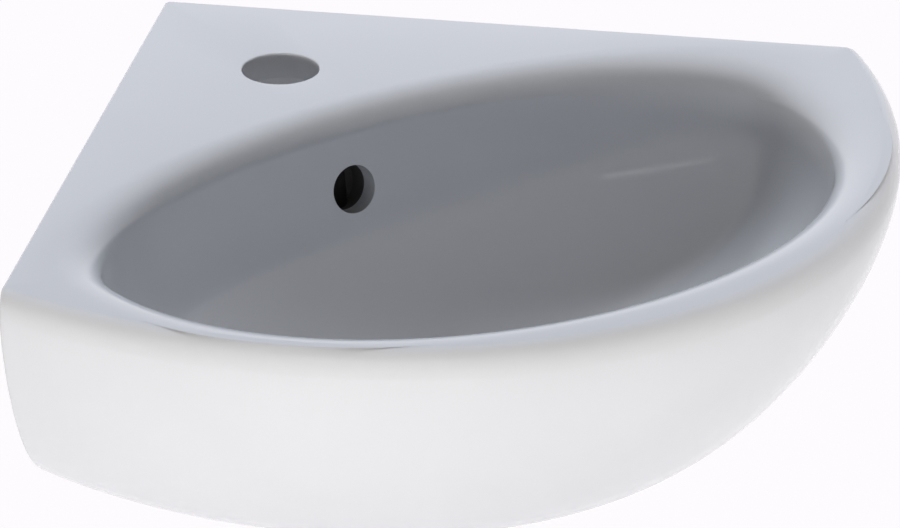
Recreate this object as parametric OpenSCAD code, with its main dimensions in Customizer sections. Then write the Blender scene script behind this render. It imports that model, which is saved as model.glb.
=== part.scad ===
// Corner hand basin in glazed ceramic, with its slotted push-button waste and wall sleeves.
// Millimetres. The origin is the corner of the room at deck level. The walls are the planes x = 0
// and y = 0, the basin lies at x > 0 and y < 0, and +Z is up.
// Most shapes are drawn in the diagonal frame, whose first axis runs from the corner of the room to
// the front of the basin and whose second axis runs across it. "Depth" is always measured down from
// the deck.

/* [Rim outline] */
// Corner of the room to the front of the rim, along the diagonal
rim_reach = 418; // [408:1:428]
// Radius of the front of the rim
front_r = 208; // [200:1:216]
// Radius of each side of the rim
side_r = 292; // [280:1:304]
// Angle that the front arc covers on each side of the diagonal
front_arc_angle = 35; // [30:1:40]

/* [Outer body] */
// Depth of the body below the deck, without the waste boss
body_depth = 134; // [126:1:142]
// Depth of the rounded rim edge
edge_depth = 13; // [8:1:16]
// How far the rounded rim edge is set in at deck level
edge_inset = 8; // [4:1:10]
// How early the sides start to draw in: a higher power keeps them upright for longer
taper_power = 1.5; // [1.3:0.1:1.8]
// How square the lower edge is: a higher root gives a squarer one
taper_root = 5.7; // [4.5:0.1:6.5]
// Where the level sections shrink towards just under the rim, along the diagonal
spine_top = -14; // [-30:1:10]
// Where they shrink towards at the bottom
spine_low = 193; // [185:1:205]

/* [Bowl] */
// Corner of the room to the waste, along the diagonal
waste_reach = 240; // [234:1:246]
// Corner of the room to the back edge of the bowl's mouth, along the diagonal
deck_reach = 140; // [136:0.5:146]
// Width of the rim at the front, along the diagonal
front_rim_w = 15; // [12:0.5:20]
// Width of the rim at each side, straight across from the waste
side_rim_w = 23; // [19:0.5:30]
// From the bowl's lowest point down to the underside of the body
under_bowl_h = 22; // [18:1:30]
// Depth of the rounded lip between the deck and the bowl's wall
lip_depth = 14; // [10:1:18]
// How far the lip narrows the bowl, as a share of the mouth
lip_share = 0.13; // [0.1:0.01:0.16]
// How early the bowl's wall starts to curve in
bowl_power = 2.4; // [2:0.1:3]
// How round the bowl's lower corner is
bowl_root = 2.1; // [1.8:0.1:2.6]

/* [Casting] */
// Thickness of the deck
deck_t = 12; // [10:0.5:14]
// Thickness of the two wall flanges
flange_t = 12; // [10:0.5:14]
// Thickness of the outer skin beside the hollow
shell_t = 12; // [10:0.5:14]
// Thickness of the bowl's wall beside the hollow
bowl_skin_t = 12; // [10:0.5:14]
// Thickness of the ceramic under the bowl's floor
floor_t = 16; // [14:1:19]
// Depth of the hollow at its two ends, beside the bowl
hollow_end_depth = 72; // [60:1:78]

/* [Tap hole and overflow] */
// Diameter of the tap hole
tap_hole_d = 35; // [33:0.5:36]
// Corner of the room to the tap hole, along the diagonal
tap_reach = 97; // [92:1:100]
// Diameter of the overflow hole
overflow_d = 22; // [18:0.5:24]
// Depth of the overflow hole's centre
overflow_depth = 38; // [34:1:42]
// Diameter of the overflow duct inside the ceramic
duct_d = 14; // [12:0.5:15]
// Thickness of the duct's own wall
duct_wall = 6.5; // [5:0.5:8]

/* [Waste hole] */
// Gap round the waste's tube in the hole through the ceramic
waste_hole_gap = 1.8; // [1:0.1:2.5]
// Gap round the waste's collar on its flat seat
seat_gap = 2; // [1:0.5:3.5]
// How far the seat is sunk below the bowl's lowest point
seat_sink = 1; // [0.5:0.5:2]
// Diameter of the boss round the waste hole
boss_d = 88; // [84:1:94]
// Height of the boss below the body
boss_h = 12; // [8:1:15]

/* [Waste] */
// Outer diameter of the waste's threaded tube, 1 1/4 inch pipe thread
tube_d = 41.9; // [41:0.1:42]
// Wall of the tube
tube_wall = 2.5; // [2:0.1:3]
// Length of the tail thread below the undercut, which takes the trap
tail_length = 19; // [18:1:34]
// Diameter of the collar that lies in the bowl
collar_d = 63; // [60:0.5:65]
// Thickness of the collar
collar_t = 2.4; // [2:0.1:3]
// Width of each overflow slot in the tube
slot_w = 22; // [16:1:26]
// Height of each overflow slot
slot_h = 17; // [13:1:18]
// Thickness of the seal under the collar
upper_seal_t = 2; // [1.5:0.5:3]
// Thickness of the seal under the ceramic
lower_seal_t = 5; // [4:0.5:7]
// Thickness of the slip washer
slip_washer_t = 2; // [1.5:0.5:3]
// Height of the back nut
nut_h = 11; // [9:0.5:14]
// Wall of the back nut at its flats
nut_wall = 5.05; // [4.05:0.5:7.05]

/* [Push-button plug] */
// Diameter of the plug's cap
cap_d = 61; // [58:0.5:62]
// Height of the cap's dome above its underside
cap_h = 5.5; // [4.5:0.5:7]
// How far the plug travels between open and closed
plug_travel = 8; // [6:0.5:9]
// Diameter of the plug's stem
stem_d = 8; // [7:0.5:8.5]
// Outer diameter of the latch barrel
barrel_d = 12; // [11.5:0.5:13]
// Length of the latch barrel below the spider
barrel_length = 42; // [40:1:46]
// Length of stem left inside the barrel when the plug is open
stem_guided = 21; // [16:1:22]
// Thickness of the plug's rubber seal
plug_seal_t = 2.5; // [2:0.5:3]
// Wire of the plug's spring
spring_wire_d = 0.9; // [0.7:0.1:1]

/* [Wall fixing] */
// Distance of each fixing hole from the corner of the room
fixing_reach = 190; // [175:1:205]
// Depth of the fixing holes
fixing_depth = 62; // [55:1:70]
// Diameter of the fixing holes through the ceramic
fixing_hole_d = 14; // [13.5:0.5:16]
// Bore of each sleeve, for an M10 hanger bolt
sleeve_bore_d = 10.5; // [10.5:0.1:11]
// Diameter of each sleeve's head
sleeve_head_d = 24; // [20:1:26]
// Thickness of each sleeve's head
sleeve_head_t = 2.5; // [2:0.5:4]

/* [Hidden] */
$fn = 96;

// Clearances
fit_gap = 0.05;
loose_gap = 0.35;
closed_gap = 0.3;
overrun = 1;

// Steps round the outline: front arc, side arc and wall flange, on each half
front_steps = 9;
side_steps = 18;
wall_steps = 15;
// The points on a wall lie closer together towards its front end, where the bowl beside it turns
wall_spacing_power = 1.6;

// Levels of the outer body, as shares of the depth under the rounded edge, then of its closing
body_level_share = [0.06, 0.16, 0.28, 0.4, 0.51, 0.61, 0.7, 0.78, 0.85, 0.9, 0.94, 0.967];
closing_level_share = [0.983, 0.994, 0.9995];
// Levels of the bowl below the lip, as shares of its depth
bowl_level_share = [0.22, 0.32, 0.42, 0.51, 0.6, 0.68, 0.755, 0.82, 0.875, 0.92, 0.955, 0.98, 0.995];
// Steps of the rounded edge and of the rounded lip
edge_steps = 5;
lip_steps = 6;

// Centres of the rim's arcs, in the diagonal frame
front_c = [rim_reach - front_r, 0];
side_c = front_c + (front_r - side_r) * [cos(front_arc_angle), sin(front_arc_angle)];

// Mouth of the bowl: half its width, and its reach back and forward from the waste
mouth_half_w =
    side_c[1] + sqrt(side_r * side_r - pow(waste_reach - side_c[0], 2)) - side_rim_w;
mouth_back = waste_reach - deck_reach;
mouth_front = rim_reach - waste_reach - front_rim_w;
bowl_depth = body_depth - under_bowl_h;

// Waste, in depths and heights along its axis
waste_hole_d = tube_d + 2 * waste_hole_gap;
seat_d = collar_d + 2 * seat_gap;
seat_z = -(bowl_depth + seat_sink);
boss_z = -(body_depth + boss_h);
collar_z = seat_z + upper_seal_t;
tube_r = tube_d / 2;
tube_bore_r = tube_r - tube_wall;
boss_r = boss_d / 2;

// Under the rounded edge the outline shrinks by taper towards a spine, which moves forward as it
// goes down. Both depend on the share of the way from the edge to the underside.
function depth_share(depth) = max(0, (depth - edge_depth) / (body_depth - edge_depth));
function taper(t) = pow(1 - pow(t, taper_power), 1 / taper_root);
function spine(t) = spine_top + (spine_low - spine_top) * t * t;

// How far the rounded edge is set in at a depth
function edge_set_in(depth) =
    depth >= edge_depth ? 0 : edge_inset * (1 - sqrt(1 - pow(1 - depth / edge_depth, 2)));

// The two arcs of the right half at a depth: front centre, front radius, side centre, side radius
function arcs(depth) =
    let (t = depth_share(depth), k = taper(t), s = [spine(t), 0], inset = edge_set_in(depth))
    [s + (front_c - s) * k, front_r * k - inset, s + (side_c - s) * k, side_r * k - inset];

// Where the side arc meets the wall, as a distance along both diagonal axes
function wall_meet(a) =
    let (c = a[2], r = a[3]) (c[0] + c[1] + sqrt(2 * r * r - pow(c[0] - c[1], 2))) / 2;

// Points of the right half, from the front round to the wall
function half_outline(depth) =
    let (a = arcs(depth), m = wall_meet(a), end = atan2(m - a[2][1], m - a[2][0]))
    concat(
        [for (i = [0 : front_steps - 1]) let (u = front_arc_angle * i / front_steps)
            a[0] + a[1] * [cos(u), sin(u)]],
        [for (i = [0 : side_steps]) let (u = front_arc_angle + (end - front_arc_angle) * i / side_steps)
            a[2] + a[3] * [cos(u), sin(u)]],
        [for (i = [1 : wall_steps]) m * (1 - pow(i / wall_steps, wall_spacing_power)) * [1, 1]]);

// A whole level section: right half, corner of the room, then the left half back to the front
function section(depth) =
    let (half = half_outline(depth), n = len(half))
    concat(half, [for (i = [n - 2 : -1 : 1]) [half[i][0], -half[i][1]]]);

// The bowl's mouth in polar form round the waste, and its size at a depth
function mouth_r(angle) =
    let (along = cos(angle) < 0 ? mouth_back : mouth_front)
    1 / sqrt(pow(cos(angle) / along, 2) + pow(sin(angle) / mouth_half_w, 2));
function bowl_wall(depth) =
    depth >= bowl_depth ? 0
    : (1 - lip_share) * pow(1 - pow(depth / bowl_depth, bowl_power), 1 / bowl_root);
function bowl_scale(depth) =
    bowl_wall(depth)
    + (depth < lip_depth ? lip_share * (1 - sqrt(1 - pow(1 - depth / lip_depth, 2))) : 0);

// Directions from the waste to the points of the widest section
bowl_angles = [for (p = section(edge_depth)) atan2(p[1], p[0] - waste_reach)];
function bowl_ring(depth) =
    [for (u = bowl_angles) [waste_reach, 0] + mouth_r(u) * bowl_scale(depth) * [cos(u), sin(u)]];

function at_depth(ring, depth) = [for (p = ring) [p[0], p[1], -depth]];

// Level sections shrunk towards the spine close the body under its last full section
last_share = body_level_share[len(body_level_share) - 1];
function share_depth(t) = edge_depth + (body_depth - edge_depth) * t;
function closing_ring(t) =
    let (k = taper(t) / taper(last_share), s = [spine(t), 0])
    [for (p = section(share_depth(last_share))) s + (p - s) * k];

// Every ring of the body and bowl, from the underside out and over the rim to the bowl's floor
body_rings = concat(
    [for (i = [len(closing_level_share) - 1 : -1 : 0])
        at_depth(closing_ring(closing_level_share[i]), share_depth(closing_level_share[i]))],
    [for (i = [len(body_level_share) - 1 : -1 : 0])
        at_depth(section(share_depth(body_level_share[i])), share_depth(body_level_share[i]))],
    [for (i = [0 : edge_steps]) let (d = edge_depth * (1 - sin(90 * i / edge_steps)))
        at_depth(section(d), d)],
    [for (i = [0 : lip_steps]) let (d = lip_depth * (1 - cos(90 * i / lip_steps)))
        at_depth(bowl_ring(d), d)],
    [for (share = bowl_level_share) at_depth(bowl_ring(share * bowl_depth), share * bowl_depth)]);

// A closed skin over rings of equal length, with a point in the middle of each end
module loft(rings, first_point, last_point) {
    n = len(rings[0]);
    m = len(rings);
    points = concat([first_point], [for (ring = rings) each ring], [last_point]);
    sides = [for (j = [0 : m - 2], i = [0 : n - 1])
        let (a = 1 + j * n + i, b = 1 + j * n + (i + 1) % n)
        each [[a, a + n, b], [b, a + n, b + n]]];
    first_cap = [for (i = [0 : n - 1]) [0, 1 + i, 1 + (i + 1) % n]];
    end = 1 + (m - 1) * n;
    last_cap = [for (i = [0 : n - 1]) [end + n, end + (i + 1) % n, end + i]];
    polyhedron(points, concat(sides, first_cap, last_cap));
}

// Turns the diagonal frame into the frame of the room
module on_diagonal() {
    rotate([0, 0, -45]) children();
}

module at_waste() {
    on_diagonal() translate([waste_reach, 0, 0]) children();
}

// The solid casting before anything is cut from it
module ceramic_body() {
    on_diagonal()
        loft(body_rings, [spine_low, 0, -body_depth], [waste_reach, 0, -bowl_depth]);
}

// The hollow under the deck is a C round the back of the bowl. Below the depth of its ends the C
// draws back behind the bowl, where it opens through the underside.
hollow_end_angle = 80;
hollow_open_angle = 128;
hollow_steps = 54;
through_depth = body_depth + 2 * boss_h;
open_depth = bowl_depth + floor_t / 2;
hollow_levels = concat(
    [for (share = [0, 0.35, 0.7, 1]) deck_t + (hollow_end_depth - deck_t) * share],
    [for (share = [0.3, 0.6, 1]) hollow_end_depth + (open_depth - hollow_end_depth) * share],
    [for (share = [0.4, 1]) open_depth + (through_depth - open_depth) * share]);

function smooth(x) = let (v = min(1, max(0, x))) v * v * (3 - 2 * v);
function hollow_end(depth) =
    hollow_end_angle + (hollow_open_angle - hollow_end_angle)
    * smooth((depth - hollow_end_depth) / (open_depth - hollow_end_depth));
function hollow_inner(angle, depth) =
    max(boss_r - shell_t / 4, mouth_r(angle) * bowl_wall(max(0, depth - floor_t)) + bowl_skin_t);
// Distance from the waste to the inside of the wall flange, and to the inside of the outer skin
function to_flange(angle) =
    let (toward = sin(angle) - cos(angle))
    toward <= 0 ? rim_reach : (waste_reach - flange_t * sqrt(2)) / toward;
function to_shell(angle, depth) =
    let (a = arcs(min(depth, share_depth(last_share))), q = [waste_reach, 0] - a[2],
         along = q * [cos(angle), sin(angle)])
    sqrt(along * along - q * q + a[3] * a[3]) - along - shell_t;
function hollow_outer(angle, depth) = min(to_flange(angle), to_shell(angle, depth));

function polar(r, angle) = [waste_reach + r * cos(angle), r * sin(angle)];
function mirrored_angle(u) = u > 180 ? 360 - u : u;
// One level of the C: along its outside and back along its inside
function hollow_ring(depth) =
    let (end = hollow_end(depth),
         angles = [for (i = [0 : hollow_steps]) end + (360 - 2 * end) * i / hollow_steps])
    at_depth(concat(
        [for (u = angles) polar(hollow_outer(mirrored_angle(u), depth), u)],
        [for (i = [hollow_steps : -1 : 0])
            polar(hollow_inner(mirrored_angle(angles[i]), depth), angles[i])]), depth);

module hollow() {
    rings = [for (depth = hollow_levels) hollow_ring(depth)];
    n = len(rings[0]);
    m = len(rings);
    end = (m - 1) * n;
    sides = [for (j = [0 : m - 2], i = [0 : n - 1])
        let (a = j * n + i, b = j * n + (i + 1) % n)
        each [[a, b, a + n], [b, b + n, a + n]]];
    top = [for (i = [0 : hollow_steps - 1])
        each [[i, n - 1 - i, i + 1], [i + 1, n - 1 - i, n - 2 - i]]];
    bottom = [for (i = [0 : hollow_steps - 1])
        each [[end + i, end + i + 1, end + n - 1 - i], [end + i + 1, end + n - 2 - i, end + n - 1 - i]]];
    on_diagonal() polyhedron([for (ring = rings) each ring], concat(sides, top, bottom));
}

// The overflow duct drops behind the bowl and then runs under its floor into the waste hole
duct_r = duct_d / 2;
duct_skin_r = duct_r + duct_wall;
overflow_w = waste_reach - mouth_back * bowl_scale(overflow_depth);
duct_w = waste_reach - mouth_back * bowl_scale(lip_depth) - duct_skin_r - duct_wall / 4;
duct_elbow_z = -(bowl_depth - duct_d);
duct_exit_z = (seat_z + boss_z) / 2;
duct_exit_w = waste_reach - waste_hole_d / 3;
duct_sides = 28;

// A round-ended run of the duct's wall between two points, each given as [reach, height]
module duct_run(from, to) {
    on_diagonal() hull()
        for (end = [from, to])
            translate([end[0], 0, end[1]]) sphere(duct_skin_r, $fn = duct_sides);
}

module duct_skin() {
    duct_run([duct_w, -deck_t - duct_skin_r / 2], [duct_w, duct_elbow_z]);
    duct_run([duct_w, duct_elbow_z], [duct_exit_w, duct_exit_z]);
}

module duct_bore() {
    run = [duct_exit_w - duct_w, duct_exit_z - duct_elbow_z];
    on_diagonal() {
        translate([duct_w, 0, duct_elbow_z - duct_r])
            cylinder(r = duct_r, h = -overflow_depth - duct_elbow_z + duct_r);
        translate([duct_w, 0, duct_elbow_z]) rotate([0, atan2(run[0], run[1]), 0])
            cylinder(r = duct_r - overrun, h = norm(run));
    }
}

// The overflow hole runs back and slightly down from the bowl to the middle of the duct
overflow_tilt = 10;
module overflow_hole() {
    on_diagonal()
        translate([overflow_w + overflow_d, 0, -overflow_depth + overflow_d * tan(overflow_tilt)])
            rotate([0, -90 - overflow_tilt, 0])
                cylinder(d = overflow_d, h = (overflow_w + overflow_d - duct_w) / cos(overflow_tilt));
}

module tap_hole() {
    on_diagonal() translate([tap_reach, 0, -deck_t - overrun])
        cylinder(d = tap_hole_d, h = deck_t + 2 * overrun);
}

module waste_hole() {
    at_waste() {
        translate([0, 0, boss_z - overrun]) cylinder(d = waste_hole_d, h = bowl_depth);
        translate([0, 0, seat_z]) cylinder(d = seat_d, h = bowl_depth / 4);
    }
}

module waste_boss() {
    at_waste() translate([0, 0, boss_z])
        cylinder(r = boss_r, h = boss_h + body_depth - bowl_depth - floor_t / 2);
}

// Draws something at the fixing hole of the back wall, with its axis away from the wall
module at_back_fixing() {
    translate([fixing_reach, 0, -fixing_depth]) rotate([90, 0, 0]) children();
}

// The left wall's fixings mirror those of the back wall in the diagonal
module mirrored_in_diagonal() {
    mirror([1, 1, 0]) children();
}

module fixing_hole() {
    at_back_fixing() translate([0, 0, -overrun])
        cylinder(d = fixing_hole_d, h = flange_t + 2 * overrun);
}

module basin() {
    color([0.93, 0.94, 0.95]) difference() {
        union() {
            difference() {
                ceramic_body();
                hollow();
            }
            duct_skin();
            waste_boss();
        }
        tap_hole();
        overflow_hole();
        duct_bore();
        waste_hole();
        fixing_hole();
        mirrored_in_diagonal() fixing_hole();
    }
}

// Waste: the collar's throat, the spider that carries the barrel, and the tube with its slots. An
// undercut below the back nut parts the nut's thread from the tail thread, which takes the trap.
// Both threads are drawn plain, at the diameter of their crests.
throat_r = tube_r + tube_wall / 2;
spider_z = collar_z - 4 * collar_t;
spider_h = 4;
spider_hub_r = barrel_d / 2 + tube_wall;
spider_arm_t = 2.6;
slot_z = duct_exit_z;
slip_washer_z = boss_z - lower_seal_t - slip_washer_t;
nut_z = slip_washer_z - nut_h;
undercut_h = 2;
undercut_depth = 0.8;
undercut_z = nut_z - 1.5 * undercut_h;
tube_low_z = undercut_z - tail_length;
tail_chamfer = 0.8;

module waste_body() {
    at_waste() color([0.80, 0.81, 0.83]) {
        difference() {
            rotate_extrude()
                polygon([
                    [tube_bore_r, tube_low_z],
                    [tube_r - tail_chamfer, tube_low_z],
                    [tube_r, tube_low_z + tail_chamfer],
                    [tube_r, undercut_z],
                    [tube_r - undercut_depth, undercut_z],
                    [tube_r - undercut_depth, undercut_z + undercut_h],
                    [tube_r, undercut_z + undercut_h],
                    [tube_r, collar_z],
                    [collar_d / 2, collar_z],
                    [collar_d / 2, collar_z + collar_t / 2],
                    [collar_d / 2 - collar_t / 2, collar_z + collar_t],
                    [throat_r, collar_z + collar_t],
                    [tube_bore_r, collar_z - collar_t / 2]]);
            translate([-tube_d, -slot_w / 2, slot_z - slot_h / 2]) cube([2 * tube_d, slot_w, slot_h]);
        }
        difference() {
            union() {
                translate([0, 0, spider_z]) cylinder(r = spider_hub_r, h = spider_h);
                for (turn = [60, 180, 300])
                    rotate([0, 0, turn]) translate([0, -spider_arm_t / 2, spider_z])
                        cube([tube_bore_r + tube_wall / 2, spider_arm_t, spider_h]);
            }
            translate([0, 0, spider_z - overrun])
                cylinder(r = barrel_d / 2 + fit_gap, h = spider_h + 2 * overrun);
        }
    }
}

module upper_seal() {
    at_waste() color([0.12, 0.12, 0.13]) translate([0, 0, seat_z]) difference() {
        cylinder(d = collar_d - collar_t / 2, h = upper_seal_t);
        translate([0, 0, -overrun]) cylinder(r = tube_r + fit_gap, h = upper_seal_t + 2 * overrun);
    }
}

// The lower seal has a tapered nose that centres the tube in the ceramic
nose_r = waste_hole_d / 2 - loose_gap;
nose_h = 4;
lower_seal_r = boss_r - shell_t;
module lower_seal() {
    at_waste() color([0.12, 0.12, 0.13]) translate([0, 0, boss_z]) rotate_extrude()
        polygon([
            [tube_r + fit_gap, -lower_seal_t],
            [lower_seal_r, -lower_seal_t],
            [lower_seal_r, 0],
            [nose_r, 0],
            [tube_r + loose_gap, nose_h],
            [tube_r + fit_gap, nose_h]]);
}

module slip_washer() {
    at_waste() color([0.93, 0.93, 0.90]) translate([0, 0, slip_washer_z]) difference() {
        cylinder(r = lower_seal_r - slip_washer_t / 2, h = slip_washer_t);
        translate([0, 0, -overrun]) cylinder(r = tube_r + fit_gap, h = slip_washer_t + 2 * overrun);
    }
}

module back_nut() {
    at_waste() color([0.78, 0.66, 0.38]) translate([0, 0, nut_z]) difference() {
        cylinder(r = 2 * (tube_r + nut_wall) / sqrt(3), h = nut_h, $fn = 6);
        translate([0, 0, -overrun]) cylinder(r = tube_r + fit_gap, h = nut_h + 2 * overrun);
    }
}

// Plug: heights when it is open, which is how the part is drawn
plug_seal_z = collar_z + collar_t + closed_gap + plug_travel;
cap_z = plug_seal_z + plug_seal_t;
spigot_r = tube_r - tube_wall / 2;
cap_boss_r = stem_d / 2 + collar_t;
cap_boss_h = 4;
cap_boss_z = plug_seal_z - cap_boss_h;
stem_pin_d = 6;
stem_pin_h = 5.5;

barrel_head_t = 2;
barrel_floor_t = 2;
barrel_z = spider_z + spider_h - barrel_length;
barrel_floor_z = barrel_z + barrel_floor_t;
stem_low_z = spider_z + spider_h + barrel_head_t - stem_guided;
module latch_barrel() {
    at_waste() color([0.80, 0.70, 0.42]) difference() {
        union() {
            translate([0, 0, barrel_z]) cylinder(d = barrel_d, h = barrel_length);
            translate([0, 0, spider_z + spider_h]) cylinder(r = spider_hub_r, h = barrel_head_t);
        }
        translate([0, 0, barrel_floor_z])
            cylinder(r = stem_d / 2 + fit_gap, h = barrel_length + barrel_head_t);
    }
}

module plug_stem() {
    at_waste() color([0.80, 0.70, 0.42]) {
        translate([0, 0, stem_low_z]) cylinder(d = stem_d, h = cap_boss_z - stem_low_z);
        translate([0, 0, cap_boss_z]) cylinder(d = stem_pin_d, h = stem_pin_h);
    }
}

// The spring is one helical wire between the floor of the barrel and the foot of the stem
spring_turns = 8;
spring_steps = 14;
spring_sides = 6;
spring_r = stem_d / 2 - spring_wire_d;
spring_low_z = barrel_floor_z + spring_wire_d / 2 + fit_gap;
spring_length = stem_low_z - barrel_floor_z - spring_wire_d - 2 * fit_gap;
module plug_spring() {
    last = spring_turns * spring_steps;
    rings = [for (i = [0 : last])
        let (turn = 360 * i / spring_steps, z = spring_low_z + spring_length * i / last)
        [for (j = [0 : spring_sides - 1])
            let (v = 360 * j / spring_sides, r = spring_r + spring_wire_d / 2 * cos(v))
            [r * cos(turn), r * sin(turn), z + spring_wire_d / 2 * sin(v)]]];
    at_waste() color([0.70, 0.71, 0.73])
        loft(rings, [spring_r, 0, spring_low_z], [spring_r, 0, spring_low_z + spring_length]);
}

// The cap is a shallow dome with a spigot for the seal and a boss for the stem
cap_r = cap_d / 2;
cap_rim_h = 1.2;
dome_rise = cap_h - cap_rim_h;
dome_r = (cap_r * cap_r + dome_rise * dome_rise) / (2 * dome_rise);
module plug_cap() {
    at_waste() color([0.80, 0.81, 0.83]) difference() {
        rotate_extrude() union() {
            translate([0, cap_z]) square([cap_r, cap_rim_h]);
            intersection() {
                translate([0, cap_z + cap_h - dome_r]) circle(dome_r, $fn = 256);
                translate([0, cap_z + cap_rim_h]) square([cap_r, dome_rise]);
            }
            translate([0, plug_seal_z]) square([spigot_r, plug_seal_t]);
            translate([0, cap_boss_z]) square([cap_boss_r, plug_seal_z - cap_boss_z]);
        }
        translate([0, 0, cap_boss_z - overrun])
            cylinder(r = stem_pin_d / 2 + fit_gap, h = stem_pin_h + overrun + fit_gap);
    }
}

module plug_seal() {
    at_waste() color([0.12, 0.12, 0.13]) translate([0, 0, plug_seal_z]) difference() {
        cylinder(r = throat_r + collar_t, h = plug_seal_t);
        translate([0, 0, -overrun]) cylinder(r = spigot_r + fit_gap, h = plug_seal_t + 2 * overrun);
    }
}

// Top-hat sleeve in a wall flange, its head inside the hollow
module sleeve() {
    color([0.90, 0.90, 0.87]) at_back_fixing() difference() {
        union() {
            cylinder(r = fixing_hole_d / 2 - fit_gap, h = flange_t);
            translate([0, 0, flange_t]) cylinder(d = sleeve_head_d, h = sleeve_head_t);
        }
        translate([0, 0, -overrun])
            cylinder(d = sleeve_bore_d, h = flange_t + sleeve_head_t + 2 * overrun);
    }
}

module sleeve_back() {
    sleeve();
}

module sleeve_left() {
    mirrored_in_diagonal() sleeve();
}

basin();
waste_body();
upper_seal();
lower_seal();
slip_washer();
back_nut();
latch_barrel();
plug_spring();
plug_stem();
plug_cap();
plug_seal();
sleeve_back();
sleeve_left();
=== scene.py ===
"""Looks of the corner basin: camera, light, floor, the glazed casting, the spring and every finish.

Lengths are millimetres where a name says so or where the casting is worked out, and metres elsewhere.
The casting is worked out in the diagonal frame: w runs from the corner of the room to the front of the
basin, s runs across it, and depth is measured down from the deck.
"""
import math

import bmesh
import bpy
import numpy as np
from mathutils import Matrix, Vector


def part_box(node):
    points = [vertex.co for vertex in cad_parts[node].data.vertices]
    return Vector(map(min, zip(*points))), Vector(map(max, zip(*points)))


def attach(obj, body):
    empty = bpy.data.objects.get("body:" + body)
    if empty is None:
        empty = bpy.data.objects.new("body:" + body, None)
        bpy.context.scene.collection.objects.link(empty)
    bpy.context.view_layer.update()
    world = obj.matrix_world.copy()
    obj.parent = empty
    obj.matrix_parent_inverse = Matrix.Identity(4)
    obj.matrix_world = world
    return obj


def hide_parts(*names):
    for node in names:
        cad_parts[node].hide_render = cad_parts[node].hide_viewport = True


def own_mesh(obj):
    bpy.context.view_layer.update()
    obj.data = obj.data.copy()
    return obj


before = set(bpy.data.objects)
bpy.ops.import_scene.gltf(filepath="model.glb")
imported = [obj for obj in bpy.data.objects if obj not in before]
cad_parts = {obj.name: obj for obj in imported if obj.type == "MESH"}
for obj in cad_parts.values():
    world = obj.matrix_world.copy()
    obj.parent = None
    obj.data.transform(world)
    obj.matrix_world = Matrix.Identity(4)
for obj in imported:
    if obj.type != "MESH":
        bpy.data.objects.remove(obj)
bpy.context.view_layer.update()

MM = 0.001
DIAGONAL = math.radians(45)

# Camera, solved from the deck's straight wall edges and the tap hole in the photo
CAMERA_MM = (766.2, -3262.9, 1410.9)
CAMERA_YAW = math.radians(-10.99)
CAMERA_PITCH = math.radians(24.78)
CAMERA_ROLL = math.radians(0.48)
FOCAL_PIXELS = 7872
IMAGE_W = 900
SENSOR_MM = 36

# Rim outline
RIM_REACH = 418
FRONT_R = 208
SIDE_R = 292
FRONT_ARC = math.radians(35)
# Outer body: a rolled edge at the rim, then a taper towards a spine that moves forward with depth
BODY_DEPTH = 134
EDGE_DEPTH = 13
EDGE_INSET = 8
TAPER_POWER = 1.5
TAPER_ROOT = 5.7
SPINE_TOP = -14
SPINE_LOW = 193
# Below this share of the taper's depth the underside follows the last full section, drawn in
LAST_SHARE = 0.967
UNDERSIDE_SHARES = (0.99998, 0.9996, 0.998, 0.995, 0.99, 0.983, 0.975)
# Bowl: its mouth is an oval set across the diagonal, with a rolled lip
WASTE_REACH = 240
DECK_REACH = 140
FRONT_RIM_W = 15
SIDE_RIM_W = 23
UNDER_BOWL_H = 22
LIP_DEPTH = 14
LIP_SHARE = 0.13
BOWL_POWER = 2.4
BOWL_ROOT = 2.1
# Walls of the casting. The hollow under the deck is a C seen from above. Down to its end depth it
# stops at the first angle from the front, and from there it draws back to the second.
DECK_T = 12
FLANGE_T = 12
SHELL_T = 12
BOWL_SKIN_T = 12
FLOOR_T = 16
HOLLOW_END_DEPTH = 72
HOLLOW_END_ANGLE = 80
HOLLOW_OPEN_ANGLE = 128
# Holes, the overflow's duct, the waste's seat and the boss round its hole
TAP_HOLE_D = 35
TAP_REACH = 97
OVERFLOW_D = 22
OVERFLOW_DEPTH = 38
OVERFLOW_TILT = math.radians(10)
DUCT_D = 14
DUCT_WALL = 6.5
DUCT_FOOT_D = 12
WASTE_HOLE_D = 45.5
SEAT_D = 67
SEAT_SINK = 1
BOSS_D = 88
BOSS_H = 12
FIXING_REACH = 190
FIXING_DEPTH = 62
FIXING_HOLE_D = 14
# How far a cutter runs past the face that it opens
OVERRUN = 1

# Rings of the casting's skin. The crowding puts more of them near the underside.
TAPER_STEPS = 43
TAPER_CROWDING = 0.9
EDGE_STEPS = 14
WALL_EDGE_STEPS = 5
LIP_STEPS = 18
BOWL_STEPS = 51
# Levels of the hollow above and below the depth from which it is open
UPPER_STEPS = 12
LOWER_STEPS = 7

# Soft edges that the glaze gives
END_ROUND = 3
CORNER_ROUND = 2
WALL_EDGE_ROUND = 1.5
HOLE_EDGE_ROUND = 0.8
# The overflow hole is glazed to this depth, and widens a little into the channel behind, whose faces take
# the second slot: a near-black colour painted in as shade
GLAZED_REACH = 9
CHANNEL_STEP = 0.4
PAINTED_SHADE_SLOT = 1

# Plug
SPRING_WIRE_D = 0.9
SPRING_TURNS = 8

ROOT = "basin_body"


def taper(t):
    """Size of a level section at a share of the taper's depth, against its size at the rim."""
    return (1 - t ** TAPER_POWER) ** (1 / TAPER_ROOT)


def depth_share(depth):
    """Share of the taper's depth that a depth has reached."""
    return max(0.0, (depth - EDGE_DEPTH) / (BODY_DEPTH - EDGE_DEPTH))


def share_depth(t):
    """Depth at a share of the taper's depth."""
    return EDGE_DEPTH + (BODY_DEPTH - EDGE_DEPTH) * t


def spine(t):
    """Reach of the point that the level sections are drawn in towards."""
    return SPINE_TOP + (SPINE_LOW - SPINE_TOP) * t * t


def rounding(depth, height, inset):
    """How far a rounded edge of this height is set in at a depth."""
    if depth >= height:
        return 0.0
    return inset * (1 - math.sqrt(1 - (1 - depth / height) ** 2))


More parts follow.
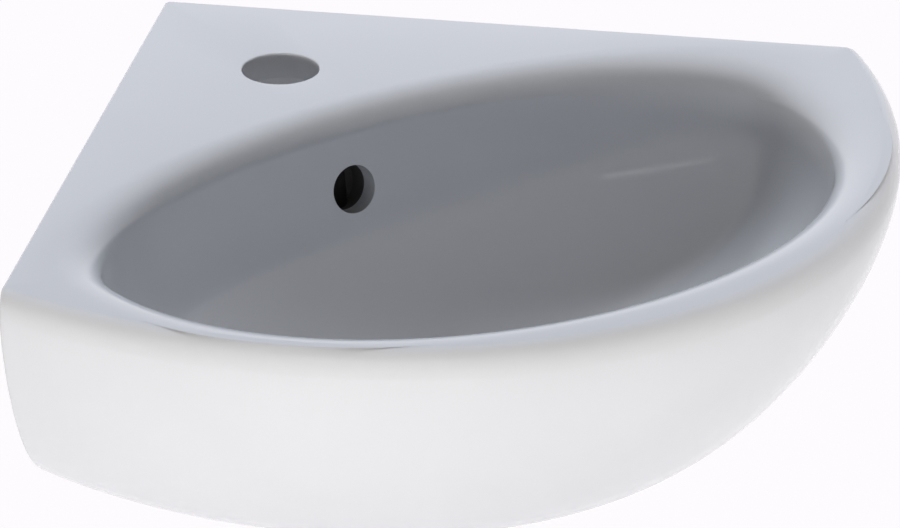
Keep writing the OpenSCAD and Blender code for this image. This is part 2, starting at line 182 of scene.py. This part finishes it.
FRONT_CENTRE = np.array([RIM_REACH - FRONT_R, 0.0])
SIDE_CENTRE = FRONT_CENTRE + (FRONT_R - SIDE_R) * np.array([math.cos(FRONT_ARC), math.sin(FRONT_ARC)])
SIDE_REACH = SIDE_CENTRE[1] + math.sqrt(SIDE_R ** 2 - (WASTE_REACH - SIDE_CENTRE[0]) ** 2)
MOUTH_HALF_W = SIDE_REACH - SIDE_RIM_W
MOUTH_BACK = WASTE_REACH - DECK_REACH
MOUTH_FRONT = RIM_REACH - WASTE_REACH - FRONT_RIM_W
BOWL_DEPTH = BODY_DEPTH - UNDER_BOWL_H


def arcs(depth):
    """Front centre, front radius, side centre and side radius at a depth."""
    t = depth_share(depth)
    k = taper(t)
    s = np.array([spine(t), 0.0])
    inset = rounding(depth, EDGE_DEPTH, EDGE_INSET)
    return s + (FRONT_CENTRE - s) * k, FRONT_R * k - inset, s + (SIDE_CENTRE - s) * k, SIDE_R * k - inset


def arc_points(centre, radius, start, end, steps, last=False):
    """Points along an arc, without its end unless last is true."""
    angles = np.linspace(start, end, steps + 1)
    if not last:
        angles = angles[:-1]
    return [centre + radius * np.array([math.cos(u), math.sin(u)]) for u in angles]


def half_outline(depth, front_steps=36, side_steps=60, end_steps=7, wall_steps=54, corner_steps=5):
    """Right half of a level section, from the front round to the corner of the room."""
    front, front_r, side, side_r = arcs(depth)
    set_in = rounding(depth, WALL_EDGE_ROUND, WALL_EDGE_ROUND)
    # The wall is the line w - s = set_in * sqrt(2)
    gap = (END_ROUND + set_in) * math.sqrt(2)
    cw, cs = side[0], side[1] + gap
    end_w = (cw + cs + math.sqrt(2 * (side_r - END_ROUND) ** 2 - (cw - cs) ** 2)) / 2
    end = np.array([end_w, end_w - gap])
    side_end = math.atan2(*(end - side)[::-1])
    wall_angle = math.radians(135)
    points = arc_points(front, front_r, 0, FRONT_ARC, front_steps)
    points += arc_points(side, side_r, FRONT_ARC, side_end, side_steps)
    points += arc_points(end, END_ROUND, side_end, wall_angle, end_steps)
    # Equal steps of angle seen from the waste space the wall's points
    start = end + END_ROUND * np.array([math.cos(wall_angle), math.sin(wall_angle)])
    corner = np.array([(CORNER_ROUND + set_in) * math.sqrt(2), 0.0])
    stop = corner + CORNER_ROUND * np.array([math.cos(wall_angle), math.sin(wall_angle)])
    away = set_in * math.sqrt(2)
    first = math.atan2(start[1], start[0] - WASTE_REACH)
    second = math.atan2(stop[1], stop[0] - WASTE_REACH)
    for u in np.linspace(first, second, wall_steps + 1)[:-1]:
        s = (WASTE_REACH - away) * math.sin(u) / (math.sin(u) - math.cos(u))
        points.append(np.array([s + away, s]))
    points += arc_points(corner, CORNER_ROUND, wall_angle, math.pi, corner_steps, last=True)
    return points


def section(depth):
    """A whole level section, from the front, past the corner of the room and back to the front."""
    half = half_outline(depth)
    left = [np.array([p[0], -p[1]]) for p in half[-2:0:-1]]
    return np.array(half + left)


def mouth_r(angle):
    """Radius of the mouth's oval about the waste, at an angle from the front."""
    along = MOUTH_BACK if math.cos(angle) < 0 else MOUTH_FRONT
    return 1 / math.sqrt((math.cos(angle) / along) ** 2 + (math.sin(angle) / MOUTH_HALF_W) ** 2)


def bowl_wall(depth):
    """Size of the bowl under its lip at a depth, against the mouth."""
    if depth >= BOWL_DEPTH:
        return 0.0
    return (1 - LIP_SHARE) * (1 - (depth / BOWL_DEPTH) ** BOWL_POWER) ** (1 / BOWL_ROOT)


def bowl_scale(depth):
    """Size of the bowl at a depth, lip included, against the mouth."""
    return bowl_wall(depth) + rounding(depth, LIP_DEPTH, LIP_SHARE)


def at_depth(ring, depth):
    """A flat ring as points at a depth."""
    return [(p[0], p[1], -depth) for p in ring]


def body_rings():
    """Level rings from the underside out, over the rim and down to the bowl's floor."""
    rings = []
    last = section(share_depth(LAST_SHARE))
    for t in UNDERSIDE_SHARES:
        k = taper(t) / taper(LAST_SHARE)
        s = np.array([spine(t), 0.0])
        rings.append(at_depth(s + (last - s) * k, share_depth(t)))
    for t in LAST_SHARE * np.sin(np.linspace(math.pi / 2, 0, TAPER_STEPS + 1))[:-1] ** TAPER_CROWDING:
        rings.append(at_depth(section(share_depth(t)), share_depth(t)))
    for i in range(EDGE_STEPS + 1):
        d = EDGE_DEPTH * (1 - math.sin(math.pi / 2 * i / EDGE_STEPS))
        rings.append(at_depth(section(d), d))
    for i in range(WALL_EDGE_STEPS):
        d = WALL_EDGE_ROUND * (1 - math.sin(math.pi / 2 * i / WALL_EDGE_STEPS))
        rings.append(at_depth(section(d), d))
    rings.sort(key=lambda ring: ring[0][2])
    angles = [math.atan2(p[1], p[0] - WASTE_REACH) for p in section(EDGE_DEPTH)]

    def bowl_ring(depth):
        return at_depth([(WASTE_REACH + mouth_r(u) * bowl_scale(depth) * math.cos(u),
                          mouth_r(u) * bowl_scale(depth) * math.sin(u)) for u in angles], depth)

    for i in range(LIP_STEPS + 1):
        rings.append(bowl_ring(LIP_DEPTH * (1 - math.cos(math.pi / 2 * i / LIP_STEPS))))
    lip_turn = math.asin(LIP_DEPTH / BOWL_DEPTH)
    for share in np.sin(np.linspace(lip_turn, math.pi / 2, BOWL_STEPS + 1))[1:-1]:
        rings.append(bowl_ring(share * BOWL_DEPTH))
    return rings


def to_room(points):
    """Diagonal frame in millimetres to the frame of the room in metres."""
    half = math.sqrt(0.5) * MM
    return [((w + s) * half, (s - w) * half, z * MM) for w, s, z in points]


def new_object(name, points, faces):
    """A mesh object in the scene from points and faces."""
    mesh = bpy.data.meshes.new(name)
    mesh.from_pydata(points, [], faces)
    mesh.validate()
    obj = bpy.data.objects.new(name, mesh)
    bpy.context.scene.collection.objects.link(obj)
    return obj


def loft(name, rings, first, last):
    """A closed skin over rings of equal length, with a point in the middle of each end."""
    n, m = len(rings[0]), len(rings)
    points = [first] + [p for ring in rings for p in ring] + [last]
    faces = []
    for j in range(m - 1):
        for i in range(n):
            a, b = 1 + j * n + i, 1 + j * n + (i + 1) % n
            faces.append((a, b, b + n, a + n))
    for i in range(n):
        faces.append((0, 1 + (i + 1) % n, 1 + i))
        end = 1 + (m - 1) * n
        faces.append((end + n, end + i, end + (i + 1) % n))
    return new_object(name, to_room(points), faces)


def smoothstep(x):
    """Eases from 0 to 1 as x goes from 0 to 1."""
    v = min(1.0, max(0.0, x))
    return v * v * (3 - 2 * v)


# The hollow is open below from the first of these depths, and its cutter runs down to the second.
# The third is the depth of the last full section of the body.
OPEN_DEPTH = BOWL_DEPTH + FLOOR_T / 2
THROUGH_DEPTH = BODY_DEPTH + 2 * BOSS_H
LAST_BODY_DEPTH = share_depth(LAST_SHARE)


def hollow_inner(angle, depth):
    """Radius about the waste of the hollow's side towards the bowl."""
    wall = mouth_r(angle) * bowl_wall(max(0, depth - FLOOR_T)) + BOWL_SKIN_T
    return max(BOSS_D / 2 - SHELL_T / 4, wall)


def hollow_outer(angle, depth):
    """Radius about the waste of the hollow's side towards the flanges and the outer shell."""
    toward = math.sin(angle) - math.cos(angle)
    to_flange = RIM_REACH if toward <= 0 else (WASTE_REACH - FLANGE_T * math.sqrt(2)) / toward
    side, side_r = arcs(min(depth, LAST_BODY_DEPTH))[2:]
    q = np.array([WASTE_REACH, 0.0]) - side
    along = float(q @ np.array([math.cos(angle), math.sin(angle)]))
    to_shell = math.sqrt(along * along - float(q @ q) + side_r * side_r) - along - SHELL_T
    return min(to_flange, to_shell)


def hollow(name, steps=160):
    """The C-shaped hollow under the deck, which opens below behind the bowl."""
    levels = list(np.linspace(DECK_T, HOLLOW_END_DEPTH, UPPER_STEPS + 1))
    levels += list(np.linspace(HOLLOW_END_DEPTH, OPEN_DEPTH, UPPER_STEPS + 1))[1:]
    levels += list(np.linspace(OPEN_DEPTH, THROUGH_DEPTH, LOWER_STEPS + 1))[1:]
    points = []
    for depth in levels:
        share = smoothstep((depth - HOLLOW_END_DEPTH) / (OPEN_DEPTH - HOLLOW_END_DEPTH))
        end = HOLLOW_END_ANGLE + (HOLLOW_OPEN_ANGLE - HOLLOW_END_ANGLE) * share
        angles = [math.radians(end + (360 - 2 * end) * i / steps) for i in range(steps + 1)]
        for u in angles:
            r = hollow_outer(min(u, 2 * math.pi - u), depth)
            points.append((WASTE_REACH + r * math.cos(u), r * math.sin(u), -depth))
        for u in reversed(angles):
            r = hollow_inner(min(u, 2 * math.pi - u), depth)
            points.append((WASTE_REACH + r * math.cos(u), r * math.sin(u), -depth))
    n, m = 2 * (steps + 1), len(levels)
    faces = [(j * n + i, (j + 1) * n + i, (j + 1) * n + (i + 1) % n, j * n + (i + 1) % n)
             for j in range(m - 1) for i in range(n)]
    end = (m - 1) * n
    for i in range(steps):
        faces.append((i, i + 1, n - 2 - i, n - 1 - i))
        faces.append((end + i, end + n - 1 - i, end + n - 2 - i, end + i + 1))
    obj = new_object(name, to_room(points), faces)
    face_outward(obj)
    return obj


def face_outward(obj):
    """Turns every face of a closed mesh outward."""
    bm = bmesh.new()
    bm.from_mesh(obj.data)
    bmesh.ops.recalc_face_normals(bm, faces=bm.faces)
    bm.to_mesh(obj.data)
    bm.free()


def revolve(name, profile, segments=128):
    """A closed solid turned about Z from a profile of (radius, height), both ends on the axis."""
    bm = bmesh.new()
    rings = []
    for r, z in profile:
        if r == 0:
            rings.append([bm.verts.new((0, 0, z))])
        else:
            turns = [2 * math.pi * k / segments for k in range(segments)]
            rings.append([bm.verts.new((r * math.cos(u), r * math.sin(u), z)) for u in turns])
    for low, high in zip(rings, rings[1:]):
        for k in range(segments):
            a, b = low[k % len(low)], low[(k + 1) % len(low)]
            c, d = high[(k + 1) % len(high)], high[k % len(high)]
            corners = list(dict.fromkeys((a, b, c, d)))
            if len(corners) > 2:
                bm.faces.new(corners)
    bmesh.ops.recalc_face_normals(bm, faces=bm.faces)
    mesh = bpy.data.meshes.new(name)
    bm.to_mesh(mesh)
    bm.free()
    obj = bpy.data.objects.new(name, mesh)
    bpy.context.scene.collection.objects.link(obj)
    return obj


def placed(obj, matrix):
    """Moves the points of a mesh, and leaves its object at the origin."""
    obj.data.transform(matrix)
    return obj


def room_point(w, s, z):
    """One point of the diagonal frame in the frame of the room."""
    return Vector(to_room([(w, s, z)])[0])


def drill(name, radius, height, flare=0.0, flare_steps=8):
    """A round cutter standing on the origin. With a flare, its top end leaves a rounded edge."""
    profile = [(0, 0), (radius, 0)]
    if flare:
        for i in range(flare_steps + 1):
            u = math.pi / 2 * i / flare_steps
            profile.append((radius + flare * (1 - math.cos(u)), height - flare + flare * math.sin(u)))
        profile.append((radius + flare, height + flare))
        profile.append((0, height + flare))
    else:
        profile += [(radius, height), (0, height)]
    return revolve(name, [(r * MM, z * MM) for r, z in profile])


def along_diagonal(start, end):
    """Turns +Z to run from one (reach, height) point to another in the basin's plane of symmetry."""
    lean = math.atan2(end[0] - start[0], end[1] - start[1])
    turn = Matrix.Rotation(-DIAGONAL, 4, "Z") @ Matrix.Rotation(lean, 4, "Y")
    return Matrix.Translation(room_point(start[0], 0, start[1])) @ turn


def duct_run(name, start, end, radius, steps=12, segments=64):
    """The round-ended run of the duct's wall between two (reach, height) points."""
    length = math.dist(start, end)
    turns = [math.pi / 2 * i / steps for i in range(steps + 1)]
    profile = [(radius * math.sin(u), -radius * math.cos(u)) for u in turns]
    profile += [(radius * math.cos(u), length + radius * math.sin(u)) for u in turns]
    profile[0] = (0, -radius)
    profile[-1] = (0, length + radius)
    capsule = revolve(name, [(r * MM, z * MM) for r, z in profile], segments)
    return placed(capsule, along_diagonal(start, end))


def combine(target, other, operation):
    """Adds another solid to the target or cuts it away, and removes it."""
    modifier = target.modifiers.new("combine", "BOOLEAN")
    modifier.operation = operation
    modifier.solver = "MANIFOLD"
    modifier.object = other
    graph = bpy.context.evaluated_depsgraph_get()
    mesh = bpy.data.meshes.new_from_object(target.evaluated_get(graph))
    target.modifiers.clear()
    target.data = mesh
    bpy.data.objects.remove(other)


def shade_smooth(obj, sharp=math.radians(30)):
    """Shades the faces smooth, apart from edges that turn more than the sharp angle."""
    bm = bmesh.new()
    bm.from_mesh(obj.data)
    for face in bm.faces:
        face.smooth = True
    for edge in bm.edges:
        edge.smooth = len(edge.link_faces) == 2 and edge.calc_face_angle(math.pi) < sharp
    bm.to_mesh(obj.data)
    bm.free()


def casting():
    """The whole ceramic casting: skin, hollow, duct, boss and every hole."""
    obj = loft("glazed_casting", body_rings(), (SPINE_LOW, 0, -BODY_DEPTH), (WASTE_REACH, 0, -BOWL_DEPTH))
    face_outward(obj)
    combine(obj, hollow("hollow_cutter"), "DIFFERENCE")

    overflow_w = WASTE_REACH - MOUTH_BACK * bowl_scale(OVERFLOW_DEPTH)
    duct_r = DUCT_D / 2
    skin_r = duct_r + DUCT_WALL
    duct_w = WASTE_REACH - MOUTH_BACK * bowl_scale(LIP_DEPTH) - skin_r - DUCT_WALL / 4
    seat_z = -(BOWL_DEPTH + SEAT_SINK)
    boss_z = -(BODY_DEPTH + BOSS_H)
    elbow = (duct_w, -(BOWL_DEPTH - DUCT_D))
    outlet = (WASTE_REACH - WASTE_HOLE_D / 3, (seat_z + boss_z) / 2)
    combine(obj, duct_run("duct_drop", (duct_w, -DECK_T - skin_r / 2), elbow, skin_r), "UNION")
    combine(obj, duct_run("duct_foot", elbow, outlet, skin_r), "UNION")

    waste = Matrix.Translation(room_point(WASTE_REACH, 0, boss_z))
    boss = drill("boss", BOSS_D / 2, BOSS_H + BODY_DEPTH - BOWL_DEPTH - FLOOR_T / 2)
    combine(obj, placed(boss, waste), "UNION")

    tap = drill("tap_cutter", TAP_HOLE_D / 2, DECK_T + OVERRUN, HOLE_EDGE_ROUND)
    tap_low = room_point(TAP_REACH, 0, -DECK_T - OVERRUN)
    combine(obj, placed(tap, Matrix.Translation(tap_low)), "DIFFERENCE")

    diagonal = Matrix.Rotation(-DIAGONAL, 4, "Z")
    rise = OVERFLOW_D * math.tan(OVERFLOW_TILT)
    mouth = room_point(overflow_w + OVERFLOW_D, 0, -OVERFLOW_DEPTH + rise)
    backward = Matrix.Rotation(-math.pi / 2 - OVERFLOW_TILT, 4, "Y")
    reach = (overflow_w + OVERFLOW_D - duct_w) / math.cos(OVERFLOW_TILT)
    glazed = OVERFLOW_D + GLAZED_REACH
    wide_r = OVERFLOW_D / 2 + CHANNEL_STEP
    profile = [(0, 0), (OVERFLOW_D / 2, 0), (OVERFLOW_D / 2, glazed)]
    profile += [(wide_r, glazed), (wide_r, reach), (0, reach)]
    overflow = revolve("overflow_cutter", [(r * MM, z * MM) for r, z in profile])
    along_hole = Matrix.Translation(mouth) @ diagonal @ backward
    combine(obj, placed(overflow, along_hole), "DIFFERENCE")

    drop = drill("duct_drop_cutter", duct_r, -OVERFLOW_DEPTH - elbow[1] + duct_r)
    low = room_point(duct_w, 0, elbow[1] - duct_r)
    combine(obj, placed(drop, Matrix.Translation(low)), "DIFFERENCE")
    foot = drill("duct_foot_cutter", DUCT_FOOT_D / 2, math.dist(elbow, outlet))
    combine(obj, placed(foot, along_diagonal(elbow, outlet)), "DIFFERENCE")

    hole = drill("waste_cutter", WASTE_HOLE_D / 2, BOWL_DEPTH)
    combine(obj, placed(hole, waste @ Matrix.Translation((0, 0, -OVERRUN * MM))), "DIFFERENCE")
    seat = drill("seat_cutter", SEAT_D / 2, BOWL_DEPTH / 4)
    seat_place = Matrix.Translation(room_point(WASTE_REACH, 0, seat_z))
    combine(obj, placed(seat, seat_place), "DIFFERENCE")

    for axis, x, y in (("X", FIXING_REACH, OVERRUN), ("Y", -OVERRUN, -FIXING_REACH)):
        cutter = drill("fixing_cutter", FIXING_HOLE_D / 2, FLANGE_T + 2 * OVERRUN)
        wall_turn = Matrix.Rotation(math.pi / 2, 4, axis)
        place = Matrix.Translation((x * MM, y * MM, -FIXING_DEPTH * MM)) @ wall_turn
        combine(obj, placed(cutter, place), "DIFFERENCE")
    shade_smooth(obj)
    paint_channel_shade(obj, along_hole.inverted(), (glazed, reach), wide_r, duct_w, outlet[1])
    return obj


def paint_channel_shade(obj, to_hole, run, wide_r, duct_w, low):
    """Gives the faces of the overflow channel behind the glazed hole the second slot, whose near-black
    colour is painted shade.
    """
    to_diagonal = Matrix.Rotation(DIAGONAL, 4, "Z")
    near = 0.5
    for face in obj.data.polygons:
        p = to_hole @ face.center / MM
        q = to_diagonal @ face.center / MM
        in_hole = math.hypot(p.x, p.y) < wide_r + near and run[0] - near < p.z < run[1] + near
        in_duct = math.hypot(q.x - duct_w, q.y) < DUCT_D / 2 + near
        in_drop = in_duct and low - DUCT_D < q.z < -DECK_T - near
        if (in_hole or in_drop) and q.x < WASTE_REACH - BOSS_D / 2:
            # These faces take the near-black painted shade
            face.material_index = PAINTED_SHADE_SLOT


def wound_spring(low, high, steps=40, sides=10):
    """The plug's spring as one smooth wire, wound to fill the box of the CAD's spring."""
    wire_r = SPRING_WIRE_D / 2 * MM
    middle = (low + high) / 2
    coil_r = (high.x - low.x) / 2 - wire_r
    last = SPRING_TURNS * steps
    points = []
    for i in range(last + 1):
        turn = 2 * math.pi * i / steps
        height = low.z + wire_r + (high.z - low.z - 2 * wire_r) * i / last
        for j in range(sides):
            v = 2 * math.pi * j / sides
            r = coil_r + wire_r * math.cos(v)
            points.append((middle.x + r * math.cos(turn), middle.y + r * math.sin(turn),
                           height + wire_r * math.sin(v)))
    faces = [tuple(range(sides)), tuple(last * sides + j for j in range(sides))]
    for i in range(last):
        for j in range(sides):
            a, b = i * sides + j, i * sides + (j + 1) % sides
            faces.append((a, b, b + sides, a + sides))
    obj = new_object("wound_spring", points, faces)
    face_outward(obj)
    shade_smooth(obj)
    return obj


def material(name):
    """A new node material: itself, its nodes, its links and its shader."""
    mat = bpy.data.materials.new(name)
    mat.use_nodes = True
    return mat, mat.node_tree.nodes, mat.node_tree.links, mat.node_tree.nodes["Principled BSDF"]


# Nearly all of a noise texture's values lie in this span
NOISE_LOW = 0.3
NOISE_HIGH = 0.7


def noise(nodes, links, scale, detail):
    """Noise over the object's own place, so that it stays put in every view."""
    place = nodes.new("ShaderNodeTexCoord")
    texture = nodes.new("ShaderNodeTexNoise")
    texture.inputs["Scale"].default_value = scale
    texture.inputs["Detail"].default_value = detail
    links.new(place.outputs["Object"], texture.inputs["Vector"])
    return texture.outputs["Fac"]


def spread(nodes, links, value, low, high):
    """Maps a noise value from its usual span to a range of numbers."""
    node = nodes.new("ShaderNodeMapRange")
    node.inputs["From Min"].default_value = NOISE_LOW
    node.inputs["From Max"].default_value = NOISE_HIGH
    node.inputs["To Min"].default_value = low
    node.inputs["To Max"].default_value = high
    links.new(value, node.inputs["Value"])
    return node.outputs["Result"]


def two_colours(nodes, links, value, first, second):
    """Goes from one colour to the other over a noise value's usual span."""
    ramp = nodes.new("ShaderNodeValToRGB")
    ramp.color_ramp.elements[0].position = NOISE_LOW
    ramp.color_ramp.elements[0].color = (*first, 1)
    ramp.color_ramp.elements[1].position = NOISE_HIGH
    ramp.color_ramp.elements[1].color = (*second, 1)
    links.new(value, ramp.inputs["Fac"])
    return ramp.outputs["Color"]


def bump(nodes, links, height, shader, distance, strength):
    """Gives a shader a fine relief from a noise value."""
    node = nodes.new("ShaderNodeBump")
    node.inputs["Distance"].default_value = distance
    node.inputs["Strength"].default_value = strength
    links.new(height, node.inputs["Height"])
    links.new(node.outputs["Normal"], shader.inputs["Normal"])


def glazed_ceramic():
    """White glaze, with faint clouds of tone, patches of softer gloss and a slight waviness."""
    mat, nodes, links, shader = material("glazed_ceramic")
    clouds = noise(nodes, links, scale=9, detail=2)
    tone = two_colours(nodes, links, clouds, first=(0.68, 0.685, 0.695), second=(0.70, 0.705, 0.715))
    links.new(tone, shader.inputs["Base Color"])
    gloss = spread(nodes, links, noise(nodes, links, scale=26, detail=4), low=0.10, high=0.16)
    links.new(gloss, shader.inputs["Roughness"])
    waves = noise(nodes, links, scale=120, detail=2)
    bump(nodes, links, waves, shader, distance=0.00004, strength=0.5)
    shader.inputs["IOR"].default_value = 1.5
    return mat


def metal(name, first, second, low, high, grain, relief):
    """A metal between two colours and two roughnesses. Grain is the scale of its noise."""
    mat, nodes, links, shader = material(name)
    tone = two_colours(nodes, links, noise(nodes, links, grain / 6, detail=3), first, second)
    links.new(tone, shader.inputs["Base Color"])
    gloss = spread(nodes, links, noise(nodes, links, grain, detail=5), low, high)
    links.new(gloss, shader.inputs["Roughness"])
    bump(nodes, links, noise(nodes, links, grain * 3, detail=3), shader, relief, strength=0.4)
    shader.inputs["Metallic"].default_value = 1.0
    return mat


def dull(name, first, second, low, high, grain, relief):
    """Rubber, plastic, or the near-black painted shade of the overflow channel, between two colours and
    two roughnesses.
    """
    mat, nodes, links, shader = material(name)
    tone = two_colours(nodes, links, noise(nodes, links, grain / 8, detail=3), first, second)
    links.new(tone, shader.inputs["Base Color"])
    gloss = spread(nodes, links, noise(nodes, links, grain, detail=4), low, high)
    links.new(gloss, shader.inputs["Roughness"])
    bump(nodes, links, noise(nodes, links, grain * 2, detail=4), shader, relief, strength=0.6)
    return mat


def paint(obj, mat):
    """Puts a finish in the first slot. Faces keep their slot numbers."""
    if obj.data.materials:
        obj.data.materials[0] = mat
    else:
        obj.data.materials.append(mat)


def add_camera():
    """The photo's camera. It looks along +Y at yaw 0 and turns right for a positive yaw."""
    cy, sy = math.cos(CAMERA_YAW), math.sin(CAMERA_YAW)
    cp, sp = math.cos(CAMERA_PITCH), math.sin(CAMERA_PITCH)
    cr, sr = math.cos(CAMERA_ROLL), math.sin(CAMERA_ROLL)
    ahead = Vector((sy * cp, cy * cp, -sp))
    level = Vector((cy, -sy, 0))
    down = ahead.cross(level)
    right = level * cr + down * sr
    low = -level * sr + down * cr
    data = bpy.data.cameras.new("camera")
    data.sensor_fit = "HORIZONTAL"
    data.sensor_width = SENSOR_MM
    data.lens = FOCAL_PIXELS / IMAGE_W * SENSOR_MM
    data.clip_end = 100
    camera = bpy.data.objects.new("camera", data)
    turn = Matrix((right, -low, -ahead)).transposed().to_4x4()
    camera.matrix_world = Matrix.Translation(Vector(CAMERA_MM) * MM) @ turn
    bpy.context.scene.collection.objects.link(camera)
    bpy.context.scene.camera = camera


def seen_white(nodes, links, colour, shader, share, output):
    """Shows a share of plain white to the camera and to gloss, and the given shader to all else."""
    path = nodes.new("ShaderNodeLightPath")
    first = nodes.new("ShaderNodeMath")
    first.operation = "MAXIMUM"
    links.new(path.outputs["Is Camera Ray"], first.inputs[0])
    links.new(path.outputs["Is Glossy Ray"], first.inputs[1])
    second = nodes.new("ShaderNodeMath")
    second.operation = "MAXIMUM"
    links.new(first.outputs[0], second.inputs[0])
    links.new(path.outputs["Is Transmission Ray"], second.inputs[1])
    scaled = nodes.new("ShaderNodeMath")
    scaled.operation = "MULTIPLY"
    scaled.inputs[1].default_value = share
    links.new(second.outputs[0], scaled.inputs[0])
    white = nodes.new("ShaderNodeEmission" if shader.type != "BACKGROUND" else "ShaderNodeBackground")
    white.inputs["Color"].default_value = (*colour, 1)
    white.inputs["Strength"].default_value = 1.0
    mix = nodes.new("ShaderNodeMixShader")
    links.new(scaled.outputs[0], mix.inputs["Fac"])
    links.new(shader.outputs[0], mix.inputs[1])
    links.new(white.outputs[0], mix.inputs[2])
    links.new(mix.outputs[0], output.inputs["Surface"])


WHITE = (1.0, 0.975, 1.0)
WORLD_COLOUR = (0.96, 0.98, 1.0)
WORLD_LIGHT = 0.09
# The floor is well below the basin, which hangs on the walls
FLOOR_Z = -0.85
FLOOR_SIZE = 12
# The floor shows this share of plain white, and for the rest its own colour with the shadow on it
FLOOR_WHITE = 0.96


def add_world():
    """A dim pale world, which the camera and gloss see as white."""
    world = bpy.data.worlds.new("world")
    bpy.context.scene.world = world
    world.use_nodes = True
    nodes, links = world.node_tree.nodes, world.node_tree.links
    back = nodes["Background"]
    back.inputs["Color"].default_value = (*WORLD_COLOUR, 1)
    back.inputs["Strength"].default_value = WORLD_LIGHT
    seen_white(nodes, links, WHITE, back, 1.0, nodes["World Output"])


def add_floor():
    """A plain pale floor."""
    half = FLOOR_SIZE / 2
    corners = [(x, y, FLOOR_Z) for x, y in ((-half, -half), (half, -half), (half, half), (-half, half))]
    floor = new_object("floor", corners, [(0, 1, 2, 3)])
    mat, nodes, links, shader = material("floor")
    clouds = noise(nodes, links, scale=0.7, detail=2)
    tone = two_colours(nodes, links, clouds, first=(0.80, 0.80, 0.81), second=(0.84, 0.84, 0.85))
    links.new(tone, shader.inputs["Base Color"])
    shader.inputs["Roughness"].default_value = 0.9
    seen_white(nodes, links, WHITE, shader, FLOOR_WHITE, nodes["Material Output"])
    paint(floor, mat)


LAMP_TARGET = (0.17, -0.17, -0.05)
COOL = (0.845, 0.895, 1.0)
WARM = (1.0, 0.975, 0.96)
NEUTRAL = (1.0, 1.0, 1.0)
BACK_DISTANCE = 4.0
FRONT_DISTANCE = 2.6


def area_light(name, azimuth, elevation, distance, width, height, watts, colour, gloss=False):
    """A soft panel, seen by gloss alone or not at all by it. Azimuth 0 is along +Y and grows to +X."""
    data = bpy.data.lights.new(name, "AREA")
    data.shape = "RECTANGLE"
    data.size = width
    data.size_y = height
    data.energy = watts
    data.color = colour
    lamp = bpy.data.objects.new(name, data)
    lamp.visible_glossy = gloss
    lamp.visible_diffuse = not gloss
    lamp.visible_camera = False
    az, el = math.radians(azimuth), math.radians(elevation)
    way = Vector((math.sin(az) * math.cos(el), math.cos(az) * math.cos(el), math.sin(el)))
    lamp.matrix_world = (Matrix.Translation(Vector(LAMP_TARGET) + way * distance)
                         @ way.to_track_quat("Z", "Y").to_matrix().to_4x4())
    bpy.context.scene.collection.objects.link(lamp)


add_camera()
add_world()
add_floor()
# Name, azimuth, elevation, distance, width, height, watts, colour, and whether gloss alone sees it.
# The two at the back light the deck and the bowl, and the strips light the front from its own level.
for lamp in (
    ("back_low", -18, 45, BACK_DISTANCE, 1.8, 0.4, 78, COOL),
    ("back_high", -8, 56.5, BACK_DISTANCE, 2.4, 0.4, 75, COOL),
    ("strip_left", 230, 3, FRONT_DISTANCE, 1.6, 0.2, 22, WARM),
    ("strip_middle", 160, 1.2, FRONT_DISTANCE, 1.6, 0.2, 42, WARM),
    ("strip_right", 75, 0, FRONT_DISTANCE, 1.6, 0.2, 13, WARM),
    ("blade", 179, 25, FRONT_DISTANCE, 2.4, 0.06, 1.3, NEUTRAL, True),
):
    area_light(*lamp)

# The glaze covers the casting, apart from the overflow's channel, which gets a near-black colour as
# painted shade
basin = casting()
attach(basin, ROOT)
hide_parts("basin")
paint(basin, glazed_ceramic())
# Near-black painted shade for the deep overflow channel, with a faint grain and a dull finish
channel_shade = dull("channel_painted_shade", (0.050, 0.047, 0.044), (0.075, 0.070, 0.066),
            low=0.8, high=0.95, grain=220, relief=0.00008)
basin.data.materials.append(channel_shade)

chrome = metal("chromed_brass", (0.78, 0.79, 0.81), (0.84, 0.85, 0.87),
               low=0.04, high=0.10, grain=60, relief=0.00001)
brass = metal("bare_brass", (0.58, 0.42, 0.17), (0.70, 0.54, 0.25),
              low=0.22, high=0.38, grain=90, relief=0.00003)
steel = metal("spring_steel", (0.50, 0.50, 0.52), (0.62, 0.62, 0.64),
              low=0.18, high=0.30, grain=200, relief=0.00001)
rubber = dull("seal_rubber", (0.018, 0.018, 0.020), (0.035, 0.035, 0.038),
              low=0.55, high=0.75, grain=160, relief=0.00006)
nylon = dull("white_plastic", (0.70, 0.69, 0.64), (0.78, 0.77, 0.73),
             low=0.35, high=0.5, grain=120, relief=0.00004)
FINISHES = {
    "waste_body": chrome, "plug_cap": chrome,
    "back_nut": brass, "latch_barrel": brass, "plug_stem": brass,
    "upper_seal": rubber, "lower_seal": rubber, "plug_seal": rubber,
    "slip_washer": nylon, "sleeve_back": nylon, "sleeve_left": nylon,
}
for node, finish in FINISHES.items():
    paint(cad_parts[node], finish)

# The spring keeps its foot on the barrel's floor and is pressed together as the plug closes
spring_low, spring_high = (Vector(corner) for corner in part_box("plug_spring"))
spring = wound_spring(spring_low, spring_high)
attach(spring, ROOT)
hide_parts("plug_spring")
paint(spring, steel)
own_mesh(spring)

bpy.context.scene.view_settings.view_transform = "Standard"
